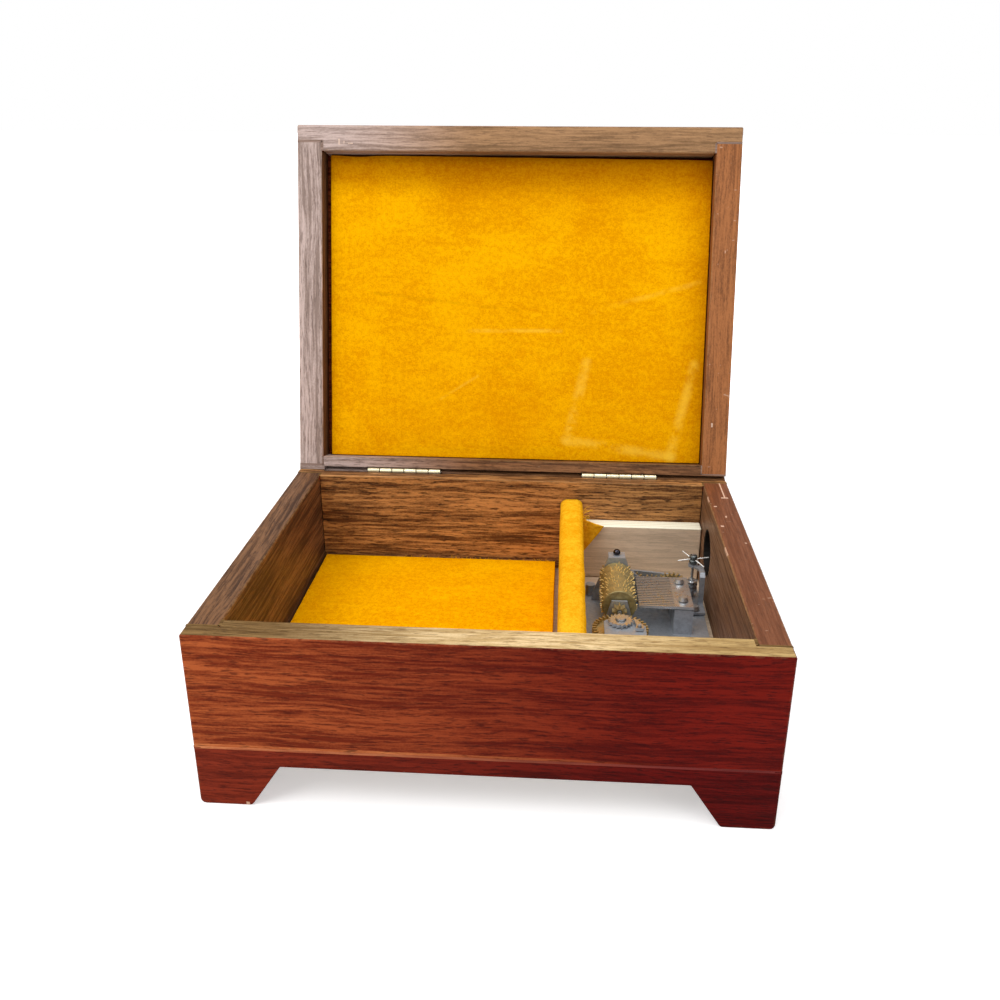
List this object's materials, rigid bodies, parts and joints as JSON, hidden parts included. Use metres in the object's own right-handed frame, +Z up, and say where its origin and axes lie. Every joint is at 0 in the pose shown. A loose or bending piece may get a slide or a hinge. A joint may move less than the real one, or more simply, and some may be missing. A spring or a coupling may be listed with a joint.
{
  "type": "musical jewelry box",
  "caption": "Rectangular wooden box on bracket feet with a hinged lid, velvet lining, a partition and a key-wound pinned-cylinder music movement.",
  "frame": {"origin": "centre of the overall plan at the underside of the feet, lid open", "axes": "+X to the right seen from the front, +Y towards the lid's hinges, +Z up"},
  "size_m": [0.165, 0.1761, 0.1814],
  "materials": {
    "walnut": "satin lacquer",
    "walnut_dark": "satin lacquer, darker base",
    "walnut_lid": "worn satin lacquer",
    "pale_board": "bare",
    "velvet": "golden velvet",
    "zinc": "cast and plated zinc",
    "brass": "dull",
    "pale_brass": "plated",
    "steel": "bright",
    "dark_steel": "blued"
  },
  "bodies": {
    "case": {"bedplate": "zinc", "bottom_board": "pale_board", "bracket_dome_screw": "dark_steel", "comb": "steel", "comb_screw_1": "steel", "comb_screw_2": "steel", "floor_velvet_pad": "velvet", "front_base_rail": "walnut_dark", "front_bearing_bracket": "zinc", "front_wall": "walnut", "governor_bridge": "zinc", "governor_bridge_screw": "steel", "ledge_board": "pale_board", "left_base_rail": "walnut_dark", "left_hinge_body_leaf": "pale_brass", "left_hinge_pin": "steel", "left_wall": "walnut", "mounting_screw_1": "steel", "mounting_screw_2": "steel", "mounting_screw_3": "steel", "partition_board": "pale_board", "partition_velvet": "velvet", "rear_base_rail": "walnut_dark", "rear_bearing_bracket": "zinc", "rear_train_plate": "zinc", "rear_wall": "walnut", "right_base_rail": "walnut_dark", "right_hinge_body_leaf": "pale_brass", "right_hinge_pin": "steel", "right_wall": "walnut", "winding_bridge": "zinc"},
    "lid": {"left_hinge_lid_leaf": "pale_brass", "lid_front_rail": "walnut_lid", "lid_left_rail": "walnut_lid", "lid_rear_rail": "walnut_lid", "lid_right_rail": "walnut_lid", "lid_top_panel": "walnut_lid", "lid_velvet_panel": "velvet", "right_hinge_lid_leaf": "pale_brass"},
    "barrel": {"spring_barrel": "brass", "barrel_cover": "brass", "mainspring": "dark_steel"},
    "winding": {"winding_arbor": "steel", "ratchet_wheel": "steel", "winding_key": "pale_brass"},
    "click": {"ratchet_click": "steel"},
    "cylinder": {"pinned_cylinder": "brass", "cylinder_arbor": "steel", "cylinder_gear": "brass", "cylinder_drive_pinion": "brass"},
    "second": {"second_arbor": "steel", "second_wheel": "brass"},
    "third": {"third_arbor": "steel", "third_wheel": "brass"},
    "fourth": {"fourth_arbor": "steel", "worm_wheel": "brass"},
    "governor": {"governor_worm": "steel", "governor_fly": "dark_steel"}
  },
  "joints": [
    {"name": "lid_hinge", "type": "hinge", "parent": "case", "child": "lid", "pos_m": [0, 0.04127, 0.05615], "axis": [1, 0, 0], "range_deg": [0, 104.4]},
    {"name": "barrel_turn", "type": "hinge", "parent": "case", "child": "barrel", "pos_m": [0.04042, -0.03023, 0.02051], "axis": [0, 0, 1], "continuous": true},
    {"name": "winding_turn", "type": "hinge", "parent": "case", "child": "winding", "pos_m": [0.04042, -0.03023, 0.02051], "axis": [0, 0, 1], "continuous": true},
    {"name": "click_swing", "type": "hinge", "parent": "case", "child": "click", "pos_m": [0.04622, -0.03463, 0.03252], "axis": [0, 0, -1], "range_deg": [0, 6], "stiffness_Nm_per_rad": 0.0002, "springref_deg": -11.46},
    {"name": "cylinder_turn", "type": "hinge", "parent": "case", "child": "cylinder", "pos_m": [0.04042, -0.00883, 0.0322], "axis": [0, 1, 0], "continuous": true},
    {"name": "second_turn", "type": "hinge", "parent": "case", "child": "second", "pos_m": [0.0465, 0.00697, 0.0274], "axis": [0, 1, 0], "continuous": true},
    {"name": "third_turn", "type": "hinge", "parent": "case", "child": "third", "pos_m": [0.05355, 0.00827, 0.0257], "axis": [0, 1, 0], "continuous": true},
    {"name": "fourth_turn", "type": "hinge", "parent": "case", "child": "fourth", "pos_m": [0.0608, 0.00987, 0.0257], "axis": [0, 1, 0], "continuous": true},
    {"name": "governor_turn", "type": "hinge", "parent": "case", "child": "governor", "pos_m": [0.0681, 0.00987, 0.03035], "axis": [0, 0, 1], "continuous": true}
  ],
  "couplings": [
    {"joint": "cylinder_turn", "follows": "barrel_turn", "ratio": 4.25},
    {"joint": "second_turn", "follows": "barrel_turn", "ratio": -10.389},
    {"joint": "third_turn", "follows": "barrel_turn", "ratio": 23.086},
    {"joint": "fourth_turn", "follows": "barrel_turn", "ratio": -51.303},
    {"joint": "governor_turn", "follows": "barrel_turn", "ratio": -1128.7}
  ]
}
